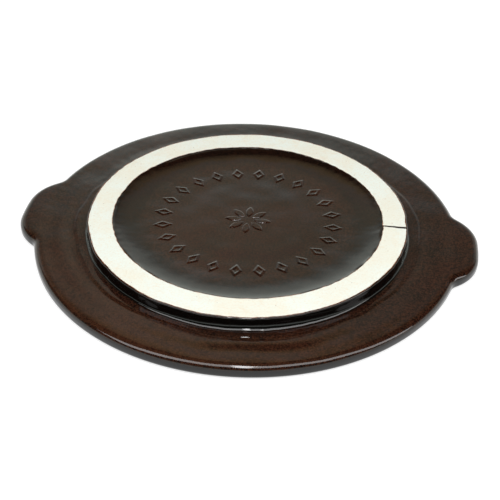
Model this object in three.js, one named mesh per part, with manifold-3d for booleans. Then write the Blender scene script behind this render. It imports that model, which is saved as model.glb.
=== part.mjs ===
// Stoneware cover for a fermenting crock of about five gallons, lying underside up.
//
// The cover is one pressed and fired piece: a round plate with two lifting ears, a raised ring that
// drops into the crock's mouth, a shallow dish inside the ring, and a sunk centre on the face below.
// It is glazed all over except for the flat face of the ring. That bare face is a solid of its own,
// inlaid in the glazed body, so that each solid has one finish.
//
// Millimetres. Z = 0 is the plane that the cover lies on, Z is the axis of the plate and the ring,
// and +X points at one ear.

import * as THREE from "three";
import { mergeVertices } from "three/addons/utils/BufferGeometryUtils.js";
import Module from "manifold-3d";

// Plate and its rounded rim.
const BRIM_RADIUS = 155.5;
const BRIM_THICKNESS = 9.7;
const RIM_ROUNDING = 4;

// Ears: a tip concentric with the plate, a round corner on each side of it, and a concave root.
const EAR_REACH = 13.2;
const EAR_TIP_HALF_ANGLE = THREE.MathUtils.degToRad(3.5);
const EAR_CORNER_RADIUS = 36.5;
const EAR_ROOT_RADIUS = 12;

// Raised ring. The bare face is the flat band between two radii, with a glazed lip on each side.
const RING_TOP = 19.4;
const BARE_OUTER_RADIUS = 116.6;
const BARE_INNER_RADIUS = 97.7;
const RING_LIP = 1.2;
const RING_DRAFT = 0.8;
const RING_ROOT_RADIUS = 3;

// The bare face is an inlay in a groove of the glazed body.
const BARE_THICKNESS = 1.2;
const BARE_GAP = 0.3;
const LIP_DROP = 0.1;

// Dish inside the ring: a flat floor, and a wall that is one concave arc from the floor to the lip.
const DISH_FLOOR_HEIGHT = 15.6;
const DISH_FLOOR_RADIUS = 70;

// Sunk centre of the lower face, which keeps the middle of the plate about as thick as the brim.
const HOLLOW_MOUTH_RADIUS = 96;
const HOLLOW_FLOOR_RADIUS = 80;
const HOLLOW_DEPTH = 5;

// Raised ornament on the dish floor: a circle of open lozenges round a small rosette.
const RELIEF_HEIGHT = 0.5;
const LOZENGE_COUNT = 24;
const LOZENGE_CIRCLE_RADIUS = 62.5;
const LOZENGE_LENGTH = 13;
const LOZENGE_WIDTH = 8;
const LOZENGE_STROKE = 1.6;
const PETAL_COUNT = 8;
const PETAL_START_RADIUS = 4.5;
const PETAL_LENGTH = 12;
const PETAL_WIDTH = 5;

// Fineness of the round stretches.
const TURNED_STEPS = 96;
const RIM_STEPS = 4;
const OUTLINE_STEP_ANGLE = THREE.MathUtils.degToRad(3);
const CORNER_STEPS = 9;
const SMALL_ARC_STEPS = 4;
const DISH_ARC_STEPS = 7;

// How far a joined or cutting solid reaches past the face that it meets.
const OVERREACH = 2;

const HALF_TURN = Math.PI;
const QUARTER_TURN = Math.PI / 2;

const wasm = await Module();
wasm.setup();

function solidOf(geometry) {
  const bare = geometry.clone();
  bare.deleteAttribute("normal");
  bare.deleteAttribute("uv");
  const merged = mergeVertices(bare, 1e-3);
  return new wasm.Manifold(
    new wasm.Mesh({
      numProp: 3,
      vertProperties: merged.attributes.position.array,
      triVerts: new Uint32Array(merged.index.array),
    }),
  );
}

function geometryOf(solid) {
  const mesh = solid.getMesh();
  const geometry = new THREE.BufferGeometry();
  geometry.setAttribute("position", new THREE.BufferAttribute(mesh.vertProperties, 3));
  geometry.setIndex(new THREE.BufferAttribute(mesh.triVerts, 1));
  geometry.computeVertexNormals();
  return geometry;
}

function meshOf(name, solid, material) {
  const mesh = new THREE.Mesh(geometryOf(solid), material);
  mesh.name = name;
  return mesh;
}

function polar(radius, angle) {
  return new THREE.Vector2(radius * Math.cos(angle), radius * Math.sin(angle));
}

// Points along an arc, both ends included. A negative sweep runs clockwise.
function arc(centre, radius, start, sweep, steps) {
  const points = [];
  for (let i = 0; i <= steps; i++) {
    points.push(polar(radius, start + (sweep * i) / steps).add(centre));
  }
  return points;
}

// A solid turned about Z from a profile of (radius, height) points, given anticlockwise.
function turned(profile) {
  const geometry = new THREE.LatheGeometry(profile, TURNED_STEPS);
  geometry.rotateX(QUARTER_TURN);
  return solidOf(geometry);
}

// Half of an ear's outline, from the middle of its tip to the plate's own circle, for an ear on +X.
function halfEar() {
  const tipRadius = BRIM_RADIUS + EAR_REACH;
  const cornerDistance = tipRadius - EAR_CORNER_RADIUS;
  const rootDistance = BRIM_RADIUS + EAR_ROOT_RADIUS;
  const between = EAR_CORNER_RADIUS + EAR_ROOT_RADIUS;
  const turn = Math.acos(
    (cornerDistance ** 2 + rootDistance ** 2 - between ** 2) / (2 * cornerDistance * rootDistance),
  );
  const rootAngle = EAR_TIP_HALF_ANGLE + turn;
  const cornerCentre = polar(cornerDistance, EAR_TIP_HALF_ANGLE);
  const rootCentre = polar(rootDistance, rootAngle);
  const towardsRoot = rootCentre.clone().sub(cornerCentre).angle();
  const origin = new THREE.Vector2();
  const tip = arc(origin, tipRadius, 0, EAR_TIP_HALF_ANGLE, 2);
  const corner = arc(
    cornerCentre,
    EAR_CORNER_RADIUS,
    EAR_TIP_HALF_ANGLE,
    towardsRoot - EAR_TIP_HALF_ANGLE,
    CORNER_STEPS,
  );
  const root = arc(
    rootCentre,
    EAR_ROOT_RADIUS,
    towardsRoot - HALF_TURN,
    rootAngle - towardsRoot,
    SMALL_ARC_STEPS,
  );
  return { points: [...tip, ...corner.slice(1), ...root.slice(1)], endAngle: rootAngle };
}

// The whole outline: one quarter made of half an ear and a stretch of circle, mirrored twice.
function plateOutline() {
  const ear = halfEar();
  const sweep = QUARTER_TURN - ear.endAngle;
  const steps = Math.ceil(sweep / OUTLINE_STEP_ANGLE);
  const circle = arc(new THREE.Vector2(), BRIM_RADIUS, ear.endAngle, sweep, steps);
  const quarter = [...ear.points, ...circle.slice(1)];
  const mirrored = quarter
    .slice(1, -1)
    .reverse()
    .map((p) => new THREE.Vector2(-p.x, p.y));
  const upper = [...quarter, ...mirrored, new THREE.Vector2(-quarter[0].x, 0)];
  const lower = upper
    .slice(1, -1)
    .reverse()
    .map((p) => new THREE.Vector2(p.x, -p.y));
  return [...upper, ...lower];
}

function plate() {
  const geometry = new THREE.ExtrudeGeometry(new THREE.Shape(plateOutline()), {
    depth: BRIM_THICKNESS - 2 * RIM_ROUNDING,
    bevelThickness: RIM_ROUNDING,
    bevelSize: RIM_ROUNDING,
    bevelOffset: -RIM_ROUNDING,
    bevelSegments: RIM_STEPS,
  });
  geometry.translate(0, 0, RIM_ROUNDING);
  return solidOf(geometry);
}

// Section of the ring and the dish, from the brim outside the ring to the axis.
function raisedMiddle() {
  const wallFoot = BARE_OUTER_RADIUS + RING_LIP + RING_DRAFT;
  const lipTop = RING_TOP - LIP_DROP;
  const lipOuter = new THREE.Vector2(BARE_OUTER_RADIUS, lipTop - RING_LIP);
  const lipInner = new THREE.Vector2(BARE_INNER_RADIUS, lipTop - RING_LIP);
  const grooveFloor = RING_TOP - BARE_THICKNESS - BARE_GAP;
  const root = arc(
    new THREE.Vector2(wallFoot + RING_ROOT_RADIUS, BRIM_THICKNESS + RING_ROOT_RADIUS),
    RING_ROOT_RADIUS,
    -QUARTER_TURN,
    -QUARTER_TURN,
    SMALL_ARC_STEPS,
  );
  const outerLip = arc(lipOuter, RING_LIP, 0, QUARTER_TURN, SMALL_ARC_STEPS);

  // The dish wall is tangent to the floor, and meets the inner lip at the dish's outer radius.
  const dishOuter = BARE_INNER_RADIUS - RING_LIP / 2;
  const dishWidth = dishOuter - DISH_FLOOR_RADIUS;
  const dishRise = lipTop - RING_LIP / 2 - DISH_FLOOR_HEIGHT;
  const dishRadius = (dishWidth ** 2 + dishRise ** 2) / (2 * dishRise);
  const dishSweep = Math.asin(dishWidth / dishRadius);
  const dishCentre = new THREE.Vector2(DISH_FLOOR_RADIUS, DISH_FLOOR_HEIGHT + dishRadius);
  const dish = arc(dishCentre, dishRadius, -QUARTER_TURN + dishSweep, -dishSweep, DISH_ARC_STEPS);
  const lipEdge = new THREE.Vector2(lipInner.x, lipTop);

  return turned([
    new THREE.Vector2(0, BRIM_THICKNESS - OVERREACH),
    new THREE.Vector2(root[0].x, BRIM_THICKNESS - OVERREACH),
    ...root,
    ...outerLip,
    new THREE.Vector2(BARE_OUTER_RADIUS, grooveFloor),
    new THREE.Vector2(BARE_INNER_RADIUS, grooveFloor),
    lipEdge,
    ...dish,
    new THREE.Vector2(0, DISH_FLOOR_HEIGHT),
  ]);
}

function hollow() {
  return turned([
    new THREE.Vector2(0, -OVERREACH),
    new THREE.Vector2(HOLLOW_MOUTH_RADIUS, -OVERREACH),
    new THREE.Vector2(HOLLOW_MOUTH_RADIUS, 0),
    new THREE.Vector2(HOLLOW_FLOOR_RADIUS, HOLLOW_DEPTH),
    new THREE.Vector2(0, HOLLOW_DEPTH),
  ]);
}

// A raised figure on the dish floor, from its outline at the origin, with its length along +X.
function relief(shape, radius, angle) {
  const geometry = new THREE.ExtrudeGeometry(shape, {
    depth: RELIEF_HEIGHT + OVERREACH,
    bevelEnabled: false,
    curveSegments: SMALL_ARC_STEPS,
  });
  geometry.translate(radius, 0, DISH_FLOOR_HEIGHT - OVERREACH);
  geometry.rotateZ(angle);
  return solidOf(geometry);
}

function lozengeOutline(length, width) {
  return [
    new THREE.Vector2(length / 2, 0),
    new THREE.Vector2(0, width / 2),
    new THREE.Vector2(-length / 2, 0),
    new THREE.Vector2(0, -width / 2),
  ];
}

// An open lozenge: the inner outline is similar to the outer one, one stroke in from its sides.
function lozenge() {
  const side = Math.hypot(LOZENGE_LENGTH, LOZENGE_WIDTH);
  const inset = (LOZENGE_LENGTH * LOZENGE_WIDTH) / side;
  const scale = 1 - (2 * LOZENGE_STROKE) / inset;
  const shape = new THREE.Shape(lozengeOutline(LOZENGE_LENGTH, LOZENGE_WIDTH));
  shape.holes.push(
    new THREE.Path(lozengeOutline(LOZENGE_LENGTH * scale, LOZENGE_WIDTH * scale)),
  );
  return shape;
}

// A petal from the origin along +X, pointed at both ends.
function petal() {
  const shape = new THREE.Shape();
  shape.moveTo(0, 0);
  shape.quadraticCurveTo(PETAL_LENGTH / 2, PETAL_WIDTH, PETAL_LENGTH, 0);
  shape.quadraticCurveTo(PETAL_LENGTH / 2, -PETAL_WIDTH, 0, 0);
  return shape;
}

function circleOf(count, shape, radius) {
  const figures = [];
  for (let i = 0; i < count; i++) {
    figures.push(relief(shape, radius, (2 * Math.PI * i) / count));
  }
  return figures;
}

function glazedCover() {
  const figures = [
    ...circleOf(LOZENGE_COUNT, lozenge(), LOZENGE_CIRCLE_RADIUS),
    ...circleOf(PETAL_COUNT, petal(), PETAL_START_RADIUS),
  ];
  return figures.reduce(
    (body, figure) => body.add(figure),
    plate().add(raisedMiddle()).subtract(hollow()),
  );
}

function bareRingFace() {
  const inner = BARE_INNER_RADIUS + BARE_GAP;
  const outer = BARE_OUTER_RADIUS - BARE_GAP;
  const bottom = RING_TOP - BARE_THICKNESS;
  return turned([
    new THREE.Vector2(inner, bottom),
    new THREE.Vector2(outer, bottom),
    new THREE.Vector2(outer, RING_TOP),
    new THREE.Vector2(inner, RING_TOP),
    new THREE.Vector2(inner, bottom),
  ]);
}

const darkGlaze = new THREE.MeshStandardMaterial({
  color: 0x34241c,
  roughness: 0.15,
  metalness: 0,
});
const bareStoneware = new THREE.MeshStandardMaterial({
  color: 0xe2dfd0,
  roughness: 0.85,
  metalness: 0,
});

const cover = new THREE.Group();
cover.add(meshOf("glazed_cover", glazedCover(), darkGlaze));
cover.add(meshOf("bare_ring_face", bareRingFace(), bareStoneware));

export default cover;
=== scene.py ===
"""Looks for a stoneware crock cover that lies underside up: its glaze, its bare ring face, camera and light.

Metres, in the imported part's own frame: Z is the axis of the plate and of the raised ring, +X points at
one ear, and the cover lies on Z = 0. The CAD solids are replaced by two finer skins of the same size,
one for the glazed body and one for the bare face of the ring.
"""

import math

import bpy
import numpy as np
from mathutils import Matrix, Vector


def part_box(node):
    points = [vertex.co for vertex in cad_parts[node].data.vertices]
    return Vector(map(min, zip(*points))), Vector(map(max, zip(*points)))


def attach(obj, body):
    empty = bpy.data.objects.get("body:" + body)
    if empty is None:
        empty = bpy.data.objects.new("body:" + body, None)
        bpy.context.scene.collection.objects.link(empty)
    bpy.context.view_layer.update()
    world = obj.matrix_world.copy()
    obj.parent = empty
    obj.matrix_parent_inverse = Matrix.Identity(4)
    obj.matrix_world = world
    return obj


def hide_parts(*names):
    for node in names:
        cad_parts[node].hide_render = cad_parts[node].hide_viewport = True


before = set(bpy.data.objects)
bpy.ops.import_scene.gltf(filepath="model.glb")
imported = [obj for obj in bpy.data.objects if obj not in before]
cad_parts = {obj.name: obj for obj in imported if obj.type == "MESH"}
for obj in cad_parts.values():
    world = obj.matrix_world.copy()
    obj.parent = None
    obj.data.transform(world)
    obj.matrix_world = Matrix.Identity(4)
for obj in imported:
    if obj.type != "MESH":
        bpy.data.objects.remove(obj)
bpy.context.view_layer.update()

MM = 0.001
TURN = 2 * math.pi

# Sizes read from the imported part.
_, cover_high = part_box("glazed_cover")
bare_low, bare_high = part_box("bare_ring_face")
PLATE_RADIUS = cover_high.y
EAR_REACH = cover_high.x - PLATE_RADIUS
RING_TOP = bare_high.z
GROOVE_GAP = 0.3 * MM
BARE_OUTER = bare_high.x + GROOVE_GAP
GROOVE_FLOOR = bare_low.z - GROOVE_GAP

# Plate and ears.
BRIM_THICKNESS = 9.7 * MM
EAR_TIP_HALF_ANGLE = math.radians(3.5)
EAR_CORNER_RADIUS = 36.5 * MM
EAR_ROOT_RADIUS = 12 * MM
UPPER_RIM_WIDTH = 5.2 * MM
UPPER_RIM_DROP = 4.4 * MM
LOWER_RIM_ROUNDING = 3 * MM
ROUND_BRIM_RADIUS = 131 * MM

# Raised ring and dish.
BARE_WIDTH = 18.9 * MM
BARE_INNER = BARE_OUTER - BARE_WIDTH
RING_WALL_RADIUS = 118 * MM
RING_FOOT_RADIUS = 118 * MM
FOOT_FILLET_SMALLEST = 1.6 * MM
FOOT_FILLET_LARGEST = 4.6 * MM
FOOT_FILLET_ANGLE = math.radians(-76)
FOOT_FILLET_SPREAD = math.radians(36)
DISH_HEIGHT = 15.6 * MM
DISH_GENTLE_RISE = 1.5 * MM
DISH_STEEP_RISE = 1.75 * MM
DISH_MOUTH_RADIUS = 97.3 * MM
DISH_FLOOR_RADIUS = 52 * MM
WALL_TOP_OUTSET = 1.2 * MM
WALL_TOP_DROP = 1.8 * MM
WALL_FOLLOWS_EDGE = 0.6

# The bare face is not quite round or even, and its edges lie a little inside the groove.
OUTER_INSET = 0.2 * MM
INNER_INSET = 0.3 * MM
OUTER_OVALITY = 0.8 * MM
INNER_OVALITY = 0.6 * MM
EDGE_WANDER = 0.13 * MM
EDGE_DRIFT_FROM = 93 * MM
EDGE_DRIFT_WIDTH = 4 * MM
WEAR_HEIGHT = 0.012 * MM
WEAR_DROP = 0.015 * MM

# Sunk centre of the lower face, which is out of sight in the photograph.
HOLLOW_MOUTH_RADIUS = 96 * MM
HOLLOW_FLOOR_RADIUS = 80 * MM
HOLLOW_DEPTH = 5 * MM
HOLLOW_MARGIN = 1 * MM
LAND_RADII = (114 * MM, 100 * MM)
HOLLOW_RADII = (60 * MM, 40 * MM, 20 * MM)
CENTRE_RADIUS = 10 * MM

# Raised ornament on the dish floor.
RELIEF_HEIGHT = 0.5 * MM
RELIEF_SOFTNESS = 0.55 * MM
RELIEF_MARGIN = 1 * MM
LOZENGE_COUNT = 24
LOZENGE_CIRCLE_RADIUS = 62.5 * MM
LOZENGE_LENGTH = 13 * MM
LOZENGE_WIDTH = 8 * MM
LOZENGE_STROKE = 1.6 * MM
PETAL_COUNT = 8
PETAL_START = 4.5 * MM
PETAL_LENGTH = 12 * MM
PETAL_WIDTH = 5 * MM

# Crack across the bare face. Both edges of the face are a little straighter beside it.
CRACK_ANGLE = math.radians(1.7)
CRACK_OUTER_WIDTH = 2.3 * MM
CRACK_INNER_WIDTH = 1.4 * MM
CRACK_DEPTH = 0.8 * MM
CRACK_BEND = math.radians(0.1)
CRACK_WOBBLE = math.radians(0.035)
STRAIGHT_ANGLE = CRACK_ANGLE + math.radians(4)
STRAIGHT_SPREAD = math.radians(3.5)
OUTER_STRAIGHTENING = 0.7 * MM
INNER_STRAIGHTENING = 0.4 * MM

# Glaze that ran down the ring's wall and pooled round its foot.
POOL_EDGE_RADIUS = 125.6 * MM
POOL_HEIGHT = 0.42 * MM
POOL_EDGE_WIDTH = 2.7 * MM
POOL_STEEP_ANGLE = math.radians(-83)
POOL_STEEP_SPREAD = math.radians(3)
POOL_NARROWING = 0.5
POOL_THICKENING = 0.9
GLAZE_EDGE_DRIFT = 1.1 * MM

# A long low step on one side of the brim, as if the glaze had run and stopped a second time.
STEP_RADIUS = 137.3 * MM
STEP_WIDTH = 4.5 * MM
STEP_HEIGHT = 0.38 * MM
STEP_ANGLE = math.radians(-76)
STEP_SPREAD = math.radians(19)

# Thinness of the glaze: above 0 it is redder. Below 0 it is darker, as thick glaze on one side of the brim
# and as painted shade on the ring's wall, the dish's edge and the rim's side. One side of the brim is
# thinner.
THIN_SIDE_ANGLE = math.radians(-115)
THIN_SIDE_SHARE = 0.3
RELIEF_THINNESS = 0.16
DISH_EDGE_PAINTED_SHADE = -0.5
DISH_EDGE_FROM = 66 * MM
DISH_EDGE_WIDTH = 18 * MM
RIM_CREST_THINNESS = 0.2
RIM_SIDE_PAINTED_SHADE = -0.75
BRIM_THINNING_WIDTH = 12 * MM

# Unevenness left by forming the clay: wheel marks, and swells that are each a height and a wavelength.
MARK_HEIGHT = 0.035 * MM
MARKS_BEGIN = 12 * MM
DISH_MARK_SPACING = 24 * MM
DISH_SWELLS = [(0.03 * MM, 26 * MM), (0.006 * MM, 7 * MM)]
BRIM_MARK_SPACING = 17 * MM
BRIM_SWELLS = [(0.045 * MM, 34 * MM), (0.008 * MM, 8 * MM)]

# Columns of points round the axis.
FINE_COLUMNS = 720
MIDDLE_COLUMNS = 240
CENTRE_COLUMNS = 80
CRACK_COLUMNS = 90
CRACK_COLUMNS_SPAN = math.radians(2.2)

# Camera, fitted to the outline in the photograph.
CAMERA_AZIMUTH = math.radians(7)
CAMERA_ELEVATION = math.radians(35.325)
CAMERA_DISTANCE = 5.481 * PLATE_RADIUS
CAMERA_PAN = math.radians(0.141)
CAMERA_TILT = math.radians(-0.63)
CAMERA_ROLL = math.radians(1.507)
CAMERA_LENS = 82.8
SENSOR_WIDTH = 36

# Floor and light.
FLOOR_RADIUS = 12
FLOOR_SIDES = 96
FLOOR_GAP = 0.2 * MM
FLOOR_GREY = (0.35, 0.35, 0.35, 1)
FLOOR_GLOW_NEAR = 0.74
FLOOR_GLOW_FAR = 1.05
FLOOR_NEAR_RADIUS = 0.18
FLOOR_FAR_RADIUS = 0.8
LIGHT_HEIGHT = 1.2
SOFTBOX_RADIANCE = 4.3
LAMP_RADIANCE = 13
WORLD_STRENGTH = 1.15


def smooth_step(value):
    t = np.clip(value, 0, 1)
    return t * t * (3 - 2 * t)


def columns(count):
    return np.arange(count) * TURN / count


def wander(angle, slowest, fastest, seed):
    """A periodic function of the angle, of about unit size, with that range of waves to the turn."""
    random = np.random.default_rng(seed)
    total = np.zeros_like(angle)
    for count in range(slowest, fastest + 1):
        total += np.cos(count * angle + random.uniform(0, TURN)) * random.uniform(0.5, 1.5)
    return total / math.sqrt((fastest - slowest + 1) / 2)


def swell(x, y, wavelength, seed, terms=14):
    """An even, patchy swell over the plane, of about unit size."""
    random = np.random.default_rng(seed)
    total = np.zeros_like(x)
    for _ in range(terms):
        heading = random.uniform(0, TURN)
        number = TURN / (wavelength * random.uniform(0.7, 1.4))
        total += np.cos(number * (x * math.cos(heading) + y * math.sin(heading)) + random.uniform(0, TURN))
    return total / math.sqrt(terms / 2)


def turning_marks(radius, angle, wavelength, seed, terms=12):
    """Low rings left by forming the clay on a wheel, which drift in and out round the turn."""
    random = np.random.default_rng(seed)
    total = np.zeros_like(radius + angle)
    for _ in range(terms):
        number = TURN / (wavelength * random.uniform(0.6, 1.6))
        lobes = random.integers(-4, 5)
        total += np.cos(number * radius + lobes * angle + random.uniform(0, TURN))
    return total / math.sqrt(terms / 2)


# ---------------------------------------------------------------- outline and edges


def plate_edge(angle):
    """Distance of the plate's outline from the axis at each angle."""
    tip_radius = PLATE_RADIUS + EAR_REACH
    corner = tip_radius - EAR_CORNER_RADIUS
    root = PLATE_RADIUS + EAR_ROOT_RADIUS
    between = EAR_CORNER_RADIUS + EAR_ROOT_RADIUS
    turn = math.acos((corner**2 + root**2 - between**2) / (2 * corner * root))
    root_angle = EAR_TIP_HALF_ANGLE + turn
    corner_centre = np.array([corner * math.cos(EAR_TIP_HALF_ANGLE), corner * math.sin(EAR_TIP_HALF_ANGLE)])
    root_centre = np.array([root * math.cos(root_angle), root * math.sin(root_angle)])
    meeting = corner_centre + (root_centre - corner_centre) * EAR_CORNER_RADIUS / between
    meeting_angle = math.atan2(meeting[1], meeting[0])

    folded = np.abs(np.arctan2(np.sin(angle), np.cos(angle)))
    folded = np.minimum(folded, math.pi - folded)
    off_corner = folded - EAR_TIP_HALF_ANGLE
    off_root = folded - root_angle
    corner_arc = corner * np.cos(off_corner) + np.sqrt(
        np.maximum(EAR_CORNER_RADIUS**2 - (corner * np.sin(off_corner)) ** 2, 0)
    )
    root_arc = root * np.cos(off_root) - np.sqrt(
        np.maximum(EAR_ROOT_RADIUS**2 - (root * np.sin(off_root)) ** 2, 0)
    )
    return np.select(
        [folded <= EAR_TIP_HALF_ANGLE, folded <= meeting_angle, folded <= root_angle],
        [np.full_like(folded, tip_radius), corner_arc, root_arc],
        PLATE_RADIUS,
    )


def angle_between(angle, other):
    return np.arctan2(np.sin(angle - other), np.cos(angle - other))


def near_angle(angle, middle, spread):
    """1 at the middle angle, falling smoothly to almost 0 at twice the spread from it."""
    return np.exp(-((angle_between(angle, middle) / spread) ** 2))


def straight_by_crack(angle):
    """How far each edge of the bare face has straightened beside the crack."""
    return near_angle(angle, STRAIGHT_ANGLE, STRAIGHT_SPREAD)


def bare_outer(angle):
    """Radius of the bare face's outer edge at each angle."""
    oval = -OUTER_OVALITY * np.cos(2 * angle)
    uneven = EDGE_WANDER * (wander(angle, 5, 24, 3) + 0.5 * wander(angle, 40, 90, 4))
    return BARE_OUTER - OUTER_INSET + oval + uneven - OUTER_STRAIGHTENING * straight_by_crack(angle)


def bare_inner(angle):
    """Radius of the bare face's inner edge at each angle."""
    oval = INNER_OVALITY * np.cos(2 * angle)
    uneven = EDGE_WANDER * (wander(angle, 5, 24, 5) + 0.7 * wander(angle, 40, 90, 6))
    return BARE_INNER + INNER_INSET + oval + uneven - INNER_STRAIGHTENING * straight_by_crack(angle)


def foot_fillet(angle):
    """Radius of the hollow where the ring's wall meets the brim. It is widest on one side."""
    wide = near_angle(angle, FOOT_FILLET_ANGLE, FOOT_FILLET_SPREAD)
    return FOOT_FILLET_SMALLEST + (FOOT_FILLET_LARGEST - FOOT_FILLET_SMALLEST) * wide


# ---------------------------------------------------------------- heights on the glazed body


def in_sector(x, y, count):
    """Distances outward and sideways in the nearest of that many equal sectors round the axis."""
    radius = np.hypot(x, y)
    pitch = TURN / count
    angle = (np.arctan2(y, x) + pitch / 2) % pitch - pitch / 2
    return radius * np.cos(angle), radius * np.sin(angle)


def lozenge_height(x, y):
    outward, sideways = in_sector(x, y, LOZENGE_COUNT)
    along = np.abs(outward - LOZENGE_CIRCLE_RADIUS) / (LOZENGE_LENGTH / 2)
    across = np.abs(sideways) / (LOZENGE_WIDTH / 2)
    centre_to_side = LOZENGE_LENGTH * LOZENGE_WIDTH / (2 * math.hypot(LOZENGE_LENGTH, LOZENGE_WIDTH))
    outside = (along + across - 1) * centre_to_side
    outer_side = smooth_step(0.5 - outside / RELIEF_SOFTNESS)
    inner_side = smooth_step(0.5 + (outside + LOZENGE_STROKE) / RELIEF_SOFTNESS)
    return outer_side * inner_side


def petal_height(x, y):
    outward, sideways = in_sector(x, y, PETAL_COUNT)
    along = (outward - PETAL_START) / PETAL_LENGTH
    half_width = 2 * along * (1 - along) * PETAL_WIDTH
    outside = np.abs(sideways) - half_width
    return smooth_step(0.5 - outside / RELIEF_SOFTNESS) * (along > 0) * (along < 1)


def relief(x, y):
    """Raised ornament, from 0 on the floor to 1 on its top."""
    return np.maximum(lozenge_height(x, y), petal_height(x, y))


def unevenness(x, y, mark_spacing, swells, seed):
    """Height of the wheel marks, which die out near the axis, and of the swells."""
    radius = np.hypot(x, y)
    marks = turning_marks(radius, np.arctan2(y, x), mark_spacing, seed)
    total = MARK_HEIGHT * marks * smooth_step(radius / MARKS_BEGIN)
    for number, (height, wavelength) in enumerate(swells, start=1):
        total = total + height * swell(x, y, wavelength, seed + number)
    return total


def dish_unevenness(x, y):
    return unevenness(x, y, DISH_MARK_SPACING, DISH_SWELLS, seed=11)


def brim_unevenness(x, y):
    return unevenness(x, y, BRIM_MARK_SPACING, BRIM_SWELLS, seed=21)


def pooled_glaze(radius, angle):
    """Extra glaze round the ring's foot, which ends in a wavy, rounded edge."""
    edge = POOL_EDGE_RADIUS + GLAZE_EDGE_DRIFT * wander(angle, 2, 9, 31)
    edge = edge + 0.3 * MM * wander(angle, 12, 30, 32)
    thickness = POOL_HEIGHT * (1 + 0.25 * wander(angle, 2, 7, 33))
    steep = near_angle(angle, POOL_STEEP_ANGLE, POOL_STEEP_SPREAD)
    width = POOL_EDGE_WIDTH * (1 - POOL_NARROWING * steep)
    return thickness * (1 + POOL_THICKENING * steep) * smooth_step((edge - radius) / width + 0.5)


def brim_step(radius, angle):
    """A swell just inside the step's radius and a dip just outside it."""
    centre = STEP_RADIUS + GLAZE_EDGE_DRIFT * wander(angle, 3, 14, 34)
    across = (radius - centre) / STEP_WIDTH
    along = near_angle(angle, STEP_ANGLE, STEP_SPREAD)
    return -STEP_HEIGHT * along * across * np.exp((1 - across**2) / 2)


def side_thinness(angle):
    """How much thinner the glaze is on one side of the brim, and thicker on the other."""
    return THIN_SIDE_SHARE * np.cos(angle - THIN_SIDE_ANGLE)


# ---------------------------------------------------------------- skins


class Skin:
    """A closed surface made of rings of points. Each ring is joined to the one before it."""

    def __init__(self):
        self.points = []
        self.faces = []
        self.values = []
        self.count = 0
        self.previous = None

    def _add(self, points, value):
        first = self.count
        self.points.append(points)
        self.values.append(np.broadcast_to(value, len(points)))
        self.count += len(points)
        return np.arange(first, self.count)

    def ring(self, x, y, z, value):
        """The next ring. It has as many points as the last one, or three times or a third as many."""
        points = np.stack(np.broadcast_arrays(x, y, z), axis=1)
        indices = self._add(points, value)
        if self.previous is not None:
            self._join(self.previous, indices)
        self.previous = indices

    def pole(self, height):
        """A point on the axis that closes the surface, at its start or its end."""
        tip = self._add(np.array([[0.0, 0.0, height]]), 0.0)
        if self.previous is not None:
            self._join(self.previous, tip)
        self.previous = tip

    def _join(self, a, b):
        """Faces between two rings, or between a ring and a pole, whichever comes first."""
        if len(a) == 1:
            self.faces += [(a[0], p, q) for p, q in zip(b, np.roll(b, -1))]
        elif len(b) == 1:
            self.faces += [(p, b[0], q) for p, q in zip(a, np.roll(a, -1))]
        elif len(a) == len(b):
            self.faces += list(zip(a, b, np.roll(b, -1), np.roll(a, -1)))
        elif len(b) == 3 * len(a):
            for i, (p, q) in enumerate(zip(a, np.roll(a, -1))):
                fine = [b[(3 * i + k) % len(b)] for k in range(4)]
                self.faces += [(p, fine[0], fine[1]), (p, fine[1], fine[2], q), (q, fine[2], fine[3])]
        else:
            for i, (p, q) in enumerate(zip(b, np.roll(b, -1))):
                fine = [a[(3 * i + k) % len(a)] for k in range(4)]
                self.faces += [(fine[0], p, fine[1]), (fine[1], p, q, fine[2]), (fine[2], q, fine[3])]

    def mesh(self, name, attribute):
        faces = [tuple(int(i) for i in face) for face in self.faces]
        return mesh_of(name, np.concatenate(self.points), faces, {attribute: np.concatenate(self.values)})


def mesh_of(name, points, faces, attributes):
    mesh = bpy.data.meshes.new(name)
    mesh.from_pydata(points.tolist(), [], faces)
    mesh.validate()
    for attribute, values in attributes.items():
        layer = mesh.attributes.new(attribute, "FLOAT", "POINT")
        layer.data.foreach_set("value", np.ascontiguousarray(values, dtype=np.float32))
    mesh.shade_smooth()
    mesh.update()
    return mesh


def piece_of(name, mesh, material, node):
    """A piece of the cover, which stands for one CAD node."""
    piece = bpy.data.objects.new(name, mesh)
    bpy.context.scene.collection.objects.link(piece)
    mesh.materials.append(material)
    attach(piece, "root")
    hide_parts(node)
    return piece


# ---------------------------------------------------------------- glazed body


def dish_height(radius):
    """A flat floor that rises towards the ring, gently at first and then steeply."""
    share = np.clip((radius - DISH_FLOOR_RADIUS) / (DISH_MOUTH_RADIUS - DISH_FLOOR_RADIUS), 0, 1)
    return DISH_HEIGHT + DISH_GENTLE_RISE * share**2 + DISH_STEEP_RISE * share**7


def dish_radii():
    """Columns and radii of the rings of points over the dish floor, closest together under the ornament."""
    lozenge_from = LOZENGE_CIRCLE_RADIUS - LOZENGE_LENGTH / 2 - RELIEF_MARGIN
    lozenge_to = LOZENGE_CIRCLE_RADIUS + LOZENGE_LENGTH / 2 + RELIEF_MARGIN
    rosette_to = PETAL_START + PETAL_LENGTH + RELIEF_MARGIN
    return [
        (CENTRE_COLUMNS, np.linspace(0.8 * MM, 4 * MM, 5)),
        (MIDDLE_COLUMNS, np.linspace(4.4 * MM, rosette_to, 32)),
        (MIDDLE_COLUMNS, np.linspace(rosette_to + 2 * MM, lozenge_from, 12)),
        (FINE_COLUMNS, np.linspace(lozenge_from, lozenge_to, 26)[1:]),
        (FINE_COLUMNS, np.linspace(lozenge_to, DISH_MOUTH_RADIUS, 15)[1:]),
    ]


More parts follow.
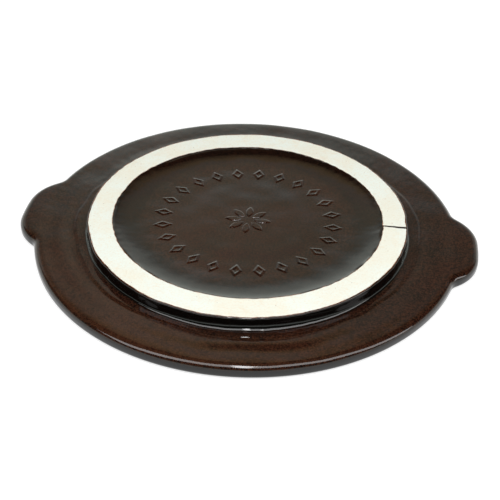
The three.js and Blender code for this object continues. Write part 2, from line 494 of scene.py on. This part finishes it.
def add_dish(skin):
    skin.pole(DISH_HEIGHT)
    for count, radii in dish_radii():
        angle = columns(count)
        for radius in radii:
            x = radius * np.cos(angle)
            y = radius * np.sin(angle)
            raised = relief(x, y)
            to_lip = smooth_step((radius - EDGE_DRIFT_FROM) / EDGE_DRIFT_WIDTH)
            drift = (bare_inner(angle) - BARE_INNER) * to_lip
            z = dish_height(radius) + RELIEF_HEIGHT * raised + dish_unevenness(x, y)
            # Towards the dish's edge the glaze is darkened with painted shade. The ornament's tops are a
            # little redder where the glaze is thin.
            near_edge = smooth_step((radius - DISH_EDGE_FROM) / DISH_EDGE_WIDTH)
            thinness_and_shade = RELIEF_THINNESS * raised + DISH_EDGE_PAINTED_SHADE * near_edge
            skin.ring(x + drift * np.cos(angle), y + drift * np.sin(angle), z, thinness_and_shade)


def add_lips_and_groove(skin):
    """Glaze rolls over the edges of the ring and stops at the bare face, which lies in the groove.

    Each row is a distance outward from the bare face's edge, a drop below it, both in millimetres, and
    the glaze's thinness, which below 0 is painted shade carried on from the dish's edge and the ring's wall.
    """
    angle = columns(FINE_COLUMNS)
    inner = bare_inner(angle)
    outer = bare_outer(angle)
    cos = np.cos(angle)
    sin = np.sin(angle)
    # The inner lip's lowest rows, at -0.3, carry on the painted shade of the dish's edge.
    inner_lip = [
        (-0.34, -0.54, -0.3),
        (-0.3, -0.51, -0.3),
        (-0.28, -0.46, -0.3),
        (-0.26, -0.12, 0.3),
        (-0.22, -0.05, 0.7),
        (-0.1, -0.015, 1),
        (0.03, -0.01, 1),
        (0.07, -0.12, 1),
        (0.09, -0.5, 1),
    ]
    for offset, drop, lip_thinness_and_shade in inner_lip:
        radius = inner + offset * MM
        skin.ring(radius * cos, radius * sin, RING_TOP + drop * MM, lip_thinness_and_shade)
    for radius in (inner + 0.1 * MM, outer - 0.1 * MM):
        skin.ring(radius * cos, radius * sin, GROOVE_FLOOR, 0)
    # The outer lip's last rows darken towards the ring's wall with painted shade.
    outer_lip = [
        (-0.09, -0.5, 1),
        (-0.07, -0.12, 1),
        (-0.02, -0.01, 1),
        (0.12, -0.01, 1),
        (0.35, -0.06, 0.7),
        (0.65, -0.2, 0.2),
        (0.92, -0.45, -0.2),
        (1.1, -0.8, -0.6),
        (1.18, -1.25, -1),
    ]
    for offset, drop, lip_thinness_and_shade in outer_lip:
        radius = outer + offset * MM
        skin.ring(radius * cos, radius * sin, RING_TOP + drop * MM, lip_thinness_and_shade)


def add_ring_wall(skin):
    """The ring's outer wall, and the hollow at its foot with its pooled glaze."""
    angle = columns(FINE_COLUMNS)
    cos = np.cos(angle)
    sin = np.sin(angle)
    top_radius = bare_outer(angle) + WALL_TOP_OUTSET
    top_height = RING_TOP - WALL_TOP_DROP
    fillet = foot_fillet(angle)
    foot_height = BRIM_THICKNESS + fillet
    foot_radius = RING_FOOT_RADIUS + (top_radius - RING_WALL_RADIUS) * WALL_FOLLOWS_EDGE
    # The ring's wall is painted near-black, as painted shade.
    for share in np.linspace(0, 1, 5):
        radius = top_radius + (foot_radius - top_radius) * share
        height = top_height + (foot_height - top_height) * share
        skin.ring(radius * cos, radius * sin, height, -1)
    # Across the hollow at the foot the painted shade fades from near-black towards the brim.
    for turn in np.radians(np.linspace(12, 90, 9)):
        radius = foot_radius + fillet * (1 - math.cos(turn))
        height = foot_height - fillet * math.sin(turn)
        pooled = pooled_glaze(radius, angle) * math.sin(turn)
        skin.ring(radius * cos, radius * sin, height + pooled, -math.cos(turn / 2) ** 4)


def add_brim(skin):
    """The brim changes from circles at the ring's foot to the plate's own outline at the rim."""
    angle = columns(FINE_COLUMNS)
    cos = np.cos(angle)
    sin = np.sin(angle)
    brim_start = RING_FOOT_RADIUS + FOOT_FILLET_LARGEST + 0.8 * MM
    for radius in np.linspace(brim_start, ROUND_BRIM_RADIUS, 17):
        x = radius * cos
        y = radius * sin
        raised = pooled_glaze(radius, angle) + brim_step(radius, angle)
        clear_of_foot = smooth_step((radius - RING_FOOT_RADIUS) / BRIM_THINNING_WIDTH)
        thinness_and_shade = side_thinness(angle) * clear_of_foot
        skin.ring(x, y, BRIM_THICKNESS + raised + brim_unevenness(x, y), thinness_and_shade)
    edge, outward = outline(angle)
    start = np.stack([ROUND_BRIM_RADIUS * cos, ROUND_BRIM_RADIUS * sin], axis=1)
    end = edge - outward * UPPER_RIM_WIDTH
    for share in np.linspace(0, 1, 11)[1:]:
        x, y = (start + (end - start) * share).T
        raised = brim_step(np.hypot(x, y), angle)
        skin.ring(x, y, BRIM_THICKNESS + raised + brim_unevenness(x, y), side_thinness(angle))
    for turn in np.radians(np.linspace(9, 90, 9)):
        x, y = (edge - outward * UPPER_RIM_WIDTH * (1 - math.sin(turn))).T
        height = BRIM_THICKNESS - UPPER_RIM_DROP * (1 - math.cos(turn))
        # The crest is redder where the glaze thins. Over the edge, the rim's side is darkened with painted
        # shade.
        crest = math.sin(2 * turn) ** 2
        over_edge = smooth_step(turn / 1.2 - 0.3)
        thinness_and_shade = RIM_CREST_THINNESS * crest + RIM_SIDE_PAINTED_SHADE * over_edge
        thinness_and_shade = thinness_and_shade + side_thinness(angle) * (1 - over_edge)
        skin.ring(x, y, height + brim_unevenness(x, y) * math.cos(turn), thinness_and_shade)


def outline(angle):
    """Points of the plate's outline, and its outward direction at each."""
    radius = plate_edge(angle)
    edge = np.stack([radius * np.cos(angle), radius * np.sin(angle)], axis=1)
    along = np.roll(edge, -1, axis=0) - np.roll(edge, 1, axis=0)
    outward = np.stack([along[:, 1], -along[:, 0]], axis=1)
    return edge, outward / np.linalg.norm(outward, axis=1, keepdims=True)


def add_underside(skin):
    """The rounded lower rim, the land that the cover lies on, and the sunk centre inside it."""
    edge, outward = outline(columns(FINE_COLUMNS))
    # The lower rounding carries on the painted shade of the rim's side.
    for turn in np.radians(np.linspace(0, 90, 7)):
        x, y = (edge - outward * LOWER_RIM_ROUNDING * (1 - math.cos(turn))).T
        skin.ring(x, y, LOWER_RIM_ROUNDING * (1 - math.sin(turn)), RIM_SIDE_PAINTED_SHADE)

    angle = columns(MIDDLE_COLUMNS)
    cos = np.cos(angle)
    sin = np.sin(angle)
    land_edge = (edge - outward * LOWER_RIM_ROUNDING)[:: FINE_COLUMNS // MIDDLE_COLUMNS]
    land_circle = np.stack([ROUND_BRIM_RADIUS * cos, ROUND_BRIM_RADIUS * sin], axis=1)
    for share in np.linspace(0, 1, 5)[1:]:
        x, y = (land_edge + (land_circle - land_edge) * share).T
        skin.ring(x, y, 0, 0)
    for radius in LAND_RADII:
        skin.ring(radius * cos, radius * sin, 0, 0)
    fall = HOLLOW_MOUTH_RADIUS - HOLLOW_FLOOR_RADIUS
    for share in np.linspace(0, 1, 9):
        radius = HOLLOW_MOUTH_RADIUS + HOLLOW_MARGIN - (fall + 2 * HOLLOW_MARGIN) * share
        depth = HOLLOW_DEPTH * smooth_step(share)
        skin.ring(radius * cos, radius * sin, depth, 0)
    for radius in HOLLOW_RADII:
        skin.ring(radius * cos, radius * sin, HOLLOW_DEPTH, 0)
    centre = columns(CENTRE_COLUMNS)
    skin.ring(CENTRE_RADIUS * np.cos(centre), CENTRE_RADIUS * np.sin(centre), HOLLOW_DEPTH, 0)
    skin.pole(HOLLOW_DEPTH)


def glazed_body_mesh():
    skin = Skin()
    add_dish(skin)
    add_lips_and_groove(skin)
    add_ring_wall(skin)
    add_brim(skin)
    add_underside(skin)
    return skin.mesh("glazed_body", "thinness_and_shade")


# ---------------------------------------------------------------- bare face of the ring


def crown_angles():
    """Angles of the columns of points, closest together beside the crack."""
    coarse = columns(FINE_COLUMNS)
    away = np.abs(angle_between(coarse, CRACK_ANGLE)) > CRACK_COLUMNS_SPAN
    fine = CRACK_ANGLE + np.linspace(-CRACK_COLUMNS_SPAN, CRACK_COLUMNS_SPAN, CRACK_COLUMNS)
    return np.sort(np.concatenate([coarse[away], fine % TURN]))


def crack_offset(radius, angle):
    """Distance from the crack's wandering line, and the share of the way across the face."""
    across = (radius - BARE_INNER) / BARE_WIDTH
    line = CRACK_ANGLE + CRACK_BEND * np.sin(5.3 * across + 0.6) + CRACK_WOBBLE * np.sin(17 * across)
    return np.abs(angle_between(angle, line)) * radius, np.clip(across, 0, 1)


def bare_section(inner, outer):
    """Radius and drop of each loop of points, from inside to outside and back along the groove's floor."""
    # The shoulder's points are a distance in from an edge and a drop below the face, in millimetres.
    shoulder = [(0.01, 0.95), (0.01, 0.45), (0.05, 0.2), (0.17, 0.06), (0.4, 0.01)]
    inner_side = [(inner + inset * MM + 0.1 * MM, drop * MM) for inset, drop in shoulder]
    outer_side = [(outer - inset * MM - 0.1 * MM, drop * MM) for inset, drop in reversed(shoulder)]
    face = [(inner + (outer - inner) * share, 0) for share in np.linspace(0.04, 0.96, 22)]
    base = [(outer - 0.2 * MM, 1.1 * MM), (inner + 0.2 * MM, 1.1 * MM)]
    return [*inner_side, *face, *outer_side, *base]


def bare_face_mesh():
    """A closed band with the crack sunk in it, whose points carry how cracked and how stained it is."""
    angle = crown_angles()
    inner = bare_inner(angle)
    outer = bare_outer(angle)
    points = []
    cracked = []
    stained = []
    for radius, drop in bare_section(inner, outer):
        x = radius * np.cos(angle)
        y = radius * np.sin(angle)
        distance, across = crack_offset(radius, angle)
        half_width = (CRACK_INNER_WIDTH + (CRACK_OUTER_WIDTH - CRACK_INNER_WIDTH) * across) / 2
        opening = np.clip(1 - distance / half_width, 0, 1)
        on_face = drop < 1 * MM
        depth = CRACK_DEPTH * smooth_step(opening * 1.4) * on_face * (0.55 + 0.45 * across)
        worn = WEAR_HEIGHT * swell(x, y, 9 * MM, 41) - WEAR_DROP
        points.append(np.stack([x, y, RING_TOP - drop - depth + worn * on_face], axis=1))
        cracked.append(smooth_step(1.6 - distance / half_width))
        to_edge = np.minimum(radius - inner, outer - radius)
        edge_stain = np.exp(-np.maximum(to_edge, 0) / (0.35 * MM))
        stained.append(edge_stain + 0.5 * np.exp(-distance / (0.6 * MM)))
    loops = len(points)
    count = len(angle)
    index = np.arange(loops * count).reshape(loops, count)
    beyond = np.roll(index, -1, axis=0)
    faces = np.stack([index, beyond, np.roll(beyond, -1, axis=1), np.roll(index, -1, axis=1)], axis=2)
    attributes = {"crack": np.concatenate(cracked), "stain": np.concatenate(stained)}
    return mesh_of("bare_face", np.concatenate(points), faces.reshape(-1, 4).tolist(), attributes)


# ---------------------------------------------------------------- materials


class Shader:
    """A node material, with short calls for the nodes that it uses."""

    def __init__(self, name):
        self.material = bpy.data.materials.new(name)
        self.material.use_nodes = True
        self.tree = self.material.node_tree
        self.surface = self.tree.nodes["Principled BSDF"]
        self.place = self.tree.nodes.new("ShaderNodeTexCoord").outputs["Object"]

    def _node(self, kind, inputs, **settings):
        node = self.tree.nodes.new(kind)
        for setting, value in settings.items():
            setattr(node, setting, value)
        for socket, value in inputs.items():
            self.put(node.inputs[socket], value)
        return node

    def put(self, socket, value):
        if isinstance(value, bpy.types.NodeSocket):
            self.tree.links.new(value, socket)
        else:
            socket.default_value = value

    def noise(self, grain, detail, roughness, distortion=0.0):
        inputs = {
            "Vector": self.place,
            "Scale": 1 / grain,
            "Detail": detail,
            "Roughness": roughness,
            "Distortion": distortion,
        }
        return self._node("ShaderNodeTexNoise", inputs).outputs["Fac"]

    def cells(self, grain):
        inputs = {"Vector": self.place, "Scale": 1 / grain}
        return self._node("ShaderNodeTexVoronoi", inputs).outputs["Distance"]

    def attribute(self, name):
        return self._node("ShaderNodeAttribute", {}, attribute_name=name).outputs["Fac"]

    def span(self, value, low, high, to_low=0.0, to_high=1.0):
        """Maps low..high to to_low..to_high, and clips outside it."""
        inputs = {0: value, 1: low, 2: high, 3: to_low, 4: to_high}
        node = self._node("ShaderNodeMapRange", inputs, interpolation_type="SMOOTHSTEP")
        return node.outputs["Result"]

    def math(self, operation, a, b):
        return self._node("ShaderNodeMath", {0: a, 1: b}, operation=operation).outputs["Value"]

    def length(self, vector):
        return self._node("ShaderNodeVectorMath", {0: vector}, operation="LENGTH").outputs["Value"]

    def mix(self, share, a, b):
        inputs = {"Factor": share, 6: a, 7: b}
        return self._node("ShaderNodeMix", inputs, data_type="RGBA").outputs[2]

    def bump(self, height, distance, under=None):
        inputs = {"Height": height, "Distance": distance, "Strength": 1.0}
        if under is not None:
            inputs["Normal"] = under
        return self._node("ShaderNodeBump", inputs).outputs["Normal"]

    def set(self, **values):
        """Sets inputs of the surface shader, with underscores for spaces."""
        for name, value in values.items():
            self.put(self.surface.inputs[name.replace("_", " ")], value)


def glaze_material():
    """Dark brown gloss glaze: reddish and greenish mottling, iron specks, rust where it is thin, and painted
    shade darkening it on the ring's wall, the dish's edge and the rim's side.
    """
    s = Shader("dark_glaze")
    red_brown = (0.0250, 0.0076, 0.0043, 1)
    deep_brown = (0.0150, 0.0064, 0.0042, 1)
    near_black = (0.0022, 0.0020, 0.0018, 1)
    amber = (0.0480, 0.0190, 0.0095, 1)
    rust = (0.2200, 0.0650, 0.0180, 1)
    clouds = s.noise(38 * MM, 3, 0.55, 0.4)
    mottle = s.noise(5.5 * MM, 4, 0.6, 0.8)
    grain = s.noise(1.3 * MM, 3, 0.75)
    thinness_and_shade = s.attribute("thinness_and_shade")
    colour = s.mix(s.span(clouds, 0.36, 0.66), red_brown, deep_brown)
    colour = s.mix(s.math("MULTIPLY", s.span(mottle, 0.52, 0.75), 0.45), colour, near_black)
    colour = s.mix(s.math("MULTIPLY", s.span(grain, 0.5, 0.61), 0.6), colour, amber)
    colour = s.mix(s.math("MULTIPLY", s.span(grain, 0.5, 0.4), 0.85), colour, near_black)
    # Below 0 the glaze darkens towards near-black: thick glaze on one side of the brim, and painted shade on
    # the ring's wall, the dish's edge and the rim's side.
    colour = s.mix(s.span(thinness_and_shade, -0.1, -0.8), colour, near_black)
    broken = s.math("MULTIPLY", thinness_and_shade, s.span(mottle, 0.3, 0.62, 0.45, 1.0))
    colour = s.mix(s.span(broken, 0.05, 0.6), colour, amber)
    colour = s.mix(s.span(broken, 0.62, 0.98), colour, rust)

    smears = s.noise(24 * MM, 4, 0.6, 1.2)
    roughness = s.span(smears, 0.35, 0.7, 0.035, 0.065)
    peel = s.bump(s.noise(3.4 * MM, 2, 0.5), 0.014 * MM)
    fine_peel = s.bump(grain, 0.022 * MM, under=peel)
    pits = s.bump(s.span(s.cells(4.5 * MM), 0.02, 0.09), 0.02 * MM, under=fine_peel)
    s.set(Base_Color=colour, Roughness=roughness, IOR=1.5, Normal=pits)
    return s.material


def bare_material():
    """Unglazed fired clay: cream, fine-grained and matt, rusty at its edges, and dark in the crack."""
    s = Shader("bare_stoneware")
    cream = (0.770, 0.765, 0.665, 1)
    cool_white = (0.765, 0.805, 0.740, 1)
    warm_patch = (0.740, 0.650, 0.500, 1)
    iron = (0.240, 0.120, 0.055, 1)
    rust = (0.420, 0.150, 0.050, 1)
    crack_dark = (0.022, 0.012, 0.008, 1)
    clouds = s.noise(30 * MM, 3, 0.55, 0.5)
    patches = s.noise(7 * MM, 4, 0.65, 0.7)
    grain = s.noise(1.6 * MM, 4, 0.75)
    colour = s.mix(s.span(clouds, 0.38, 0.64), cool_white, cream)
    colour = s.mix(s.math("MULTIPLY", s.span(patches, 0.5, 0.78), 0.5), colour, warm_patch)
    colour = s.mix(s.math("MULTIPLY", s.span(grain, 0.48, 0.66), 0.5), colour, warm_patch)
    specks = s.span(s.cells(5.2 * MM), 0.045, 0.075, 0.75, 0)
    colour = s.mix(specks, colour, iron)
    edge = s.math("MULTIPLY", s.attribute("stain"), s.span(patches, 0.3, 0.65, 0.35, 1.0))
    colour = s.mix(s.span(edge, 0.08, 0.85), colour, rust)
    # The crack is painted near-black along its line.
    colour = s.mix(s.span(s.attribute("crack"), 0.1, 0.9), colour, crack_dark)

    scratches = s.noise(0.35 * MM, 2, 0.5)
    coarse = s.bump(patches, 0.05 * MM)
    fine = s.bump(grain, 0.06 * MM, under=coarse)
    tooth = s.bump(scratches, 0.02 * MM, under=fine)
    s.set(Base_Color=colour, Roughness=s.span(grain, 0.3, 0.7, 0.72, 0.9), IOR=1.5, Normal=tooth)
    return s.material


def floor_material():
    """A pale matt table that gives off some light of its own, less of it near the cover."""
    s = Shader("pale_table")
    distance = s.length(s.place)
    glow = s.span(distance, FLOOR_NEAR_RADIUS, FLOOR_FAR_RADIUS, FLOOR_GLOW_NEAR, FLOOR_GLOW_FAR)
    s.set(Base_Color=FLOOR_GREY, Roughness=0.9, Specular_IOR_Level=0.0)
    s.set(Emission_Color=(1, 1, 1, 1), Emission_Strength=glow)
    return s.material


# ---------------------------------------------------------------- stage


def add_camera():
    """The camera, turned towards the axis and then by its small pan, tilt and roll."""
    back = Vector(
        (
            math.sin(CAMERA_AZIMUTH) * math.cos(CAMERA_ELEVATION),
            -math.cos(CAMERA_AZIMUTH) * math.cos(CAMERA_ELEVATION),
            math.sin(CAMERA_ELEVATION),
        )
    )
    vertical = Vector((0, 0, 1))
    right = (-back).cross(vertical).normalized()
    up = right.cross(-back)
    forward = (-back + math.tan(CAMERA_PAN) * right + math.tan(CAMERA_TILT) * up).normalized()
    right = forward.cross(vertical).normalized()
    up = right.cross(forward)
    rolled_right = math.cos(CAMERA_ROLL) * right + math.sin(CAMERA_ROLL) * up
    rolled_up = math.cos(CAMERA_ROLL) * up - math.sin(CAMERA_ROLL) * right
    turned = Matrix((rolled_right, rolled_up, -forward)).transposed()

    data = bpy.data.cameras.new("camera")
    data.lens = CAMERA_LENS
    data.sensor_width = SENSOR_WIDTH
    camera = bpy.data.objects.new("camera", data)
    camera.matrix_world = Matrix.Translation(back * CAMERA_DISTANCE) @ turned.to_4x4()
    bpy.context.scene.collection.objects.link(camera)
    bpy.context.scene.camera = camera


def add_softbox(name, centre, size, radiance):
    """A rectangular light that faces down.

    Its centre is given along the camera's right and forward on the level, and upwards.
    """
    data = bpy.data.lights.new(name, "AREA")
    data.shape = "RECTANGLE"
    data.size, data.size_y = size
    data.energy = radiance * math.pi * size[0] * size[1]
    light = bpy.data.objects.new(name, data)
    turned = Matrix.Rotation(CAMERA_AZIMUTH, 4, "Z")
    light.matrix_world = turned @ Matrix.Translation(centre)
    bpy.context.scene.collection.objects.link(light)


def add_floor():
    angle = columns(FLOOR_SIDES)
    height = np.full_like(angle, -FLOOR_GAP)
    points = np.stack([FLOOR_RADIUS * np.cos(angle), FLOOR_RADIUS * np.sin(angle), height], axis=1)
    mesh = mesh_of("floor", points, [tuple(range(len(points)))], {})
    mesh.materials.append(floor_material())
    floor = bpy.data.objects.new("floor", mesh)
    bpy.context.scene.collection.objects.link(floor)


def add_world():
    """Pale surroundings near the floor, a backdrop behind the cover that fades upwards, and dark above.

    All of it is faintly green up to 32 degrees of elevation, and warm above that. The steps and the tint
    were shaped to give the reflections in the photograph. Angles are in degrees, and the backdrop is
    turned by the camera's azimuth as a fixed amount.
    """
    world = bpy.data.worlds.new("studio")
    world.use_nodes = True
    bpy.context.scene.world = world
    nodes = world.node_tree.nodes
    links = world.node_tree.links
    place = nodes.new("ShaderNodeTexCoord")
    turn = nodes.new("ShaderNodeVectorRotate")
    turn.rotation_type = "Z_AXIS"
    turn.inputs["Angle"].default_value = -CAMERA_AZIMUTH
    links.new(place.outputs["Generated"], turn.inputs["Vector"])
    split = nodes.new("ShaderNodeSeparateXYZ")
    links.new(turn.outputs["Vector"], split.inputs["Vector"])

    def calculate(operation, a, b=0.0):
        node = nodes.new("ShaderNodeMath")
        node.operation = operation
        for socket, value in zip(node.inputs, (a, b)):
            if isinstance(value, bpy.types.NodeSocket):
                links.new(value, socket)
            else:
                socket.default_value = value
        return node.outputs["Value"]

    def ramp(position, stops):
        node = nodes.new("ShaderNodeValToRGB")
        elements = node.color_ramp.elements
        while len(elements) < len(stops):
            elements.new(0.5)
        for element, (at, value) in zip(elements, stops):
            colour = value if isinstance(value, tuple) else (value, value, value)
            element.position = at
            element.color = (*colour, 1)
        links.new(position, node.inputs["Fac"])
        return node.outputs["Color"]

    def by_elevation(stops):
        return ramp(elevation, [(0.5 + degrees / 180, value) for degrees, value in stops])

    upward = calculate("ARCSINE", split.outputs["Z"])
    elevation = calculate("ADD", calculate("DIVIDE", upward, math.pi), 0.5)
    azimuth = calculate("ARCTAN2", split.outputs["X"], split.outputs["Y"])
    side = calculate("ADD", calculate("DIVIDE", azimuth, TURN), 0.5)
    backdrop_low = [(0, 1.15), (17, 1.15), (29, 0.8), (31, 0.55), (34, 0.42), (37, 0.4)]
    backdrop_high = [(41, 0.44), (43.5, 0.42), (45, 0.25), (48, 0.22), (49, 0)]
    behind = by_elevation(backdrop_low + backdrop_high)
    around = by_elevation([(-90, 1), (10.5, 1), (12, 0.3), (18, 0.16), (24, 0.01)])
    left = [(-57, 0), (-50, 0.55), (-15, 0.5), (-8, 1.1)]
    right = [(0, 1), (7, 0.8), (13, 0.45), (48, 0.42), (56, 0)]
    width = ramp(side, [(0.5 + degrees / 360, value) for degrees, value in left + right])
    greenish = (0.92, 1, 0.92)
    straw = (1, 0.93, 0.68)
    peach = (1, 0.87, 0.74)
    orange = (1, 0.74, 0.42)
    tint = by_elevation([(32, greenish), (35, straw), (39, peach), (41.5, orange)])
    background = nodes["Background"]
    strength = calculate("MAXIMUM", around, calculate("MULTIPLY", behind, width))
    links.new(calculate("MULTIPLY", strength, WORLD_STRENGTH), background.inputs["Strength"])
    links.new(tint, background.inputs["Color"])


def add_stage():
    add_camera()
    add_floor()
    add_world()
    height = LIGHT_HEIGHT
    softbox_centre = (1.35 * height, -0.45 * height, height)
    softbox_size = (5.3 * height, 0.55 * height)
    add_softbox("long_softbox", softbox_centre, softbox_size, SOFTBOX_RADIANCE)
    lamp_centre = (0, -0.5 * height, 0.98 * height)
    lamp_size = (0.13 * height, 0.6 * height)
    add_softbox("lamp_core", lamp_centre, lamp_size, LAMP_RADIANCE)
    bpy.context.scene.view_settings.view_transform = "Standard"


piece_of("glazed_body", glazed_body_mesh(), glaze_material(), "glazed_cover")
piece_of("bare_ring_crown", bare_face_mesh(), bare_material(), "bare_ring_face")
add_stage()
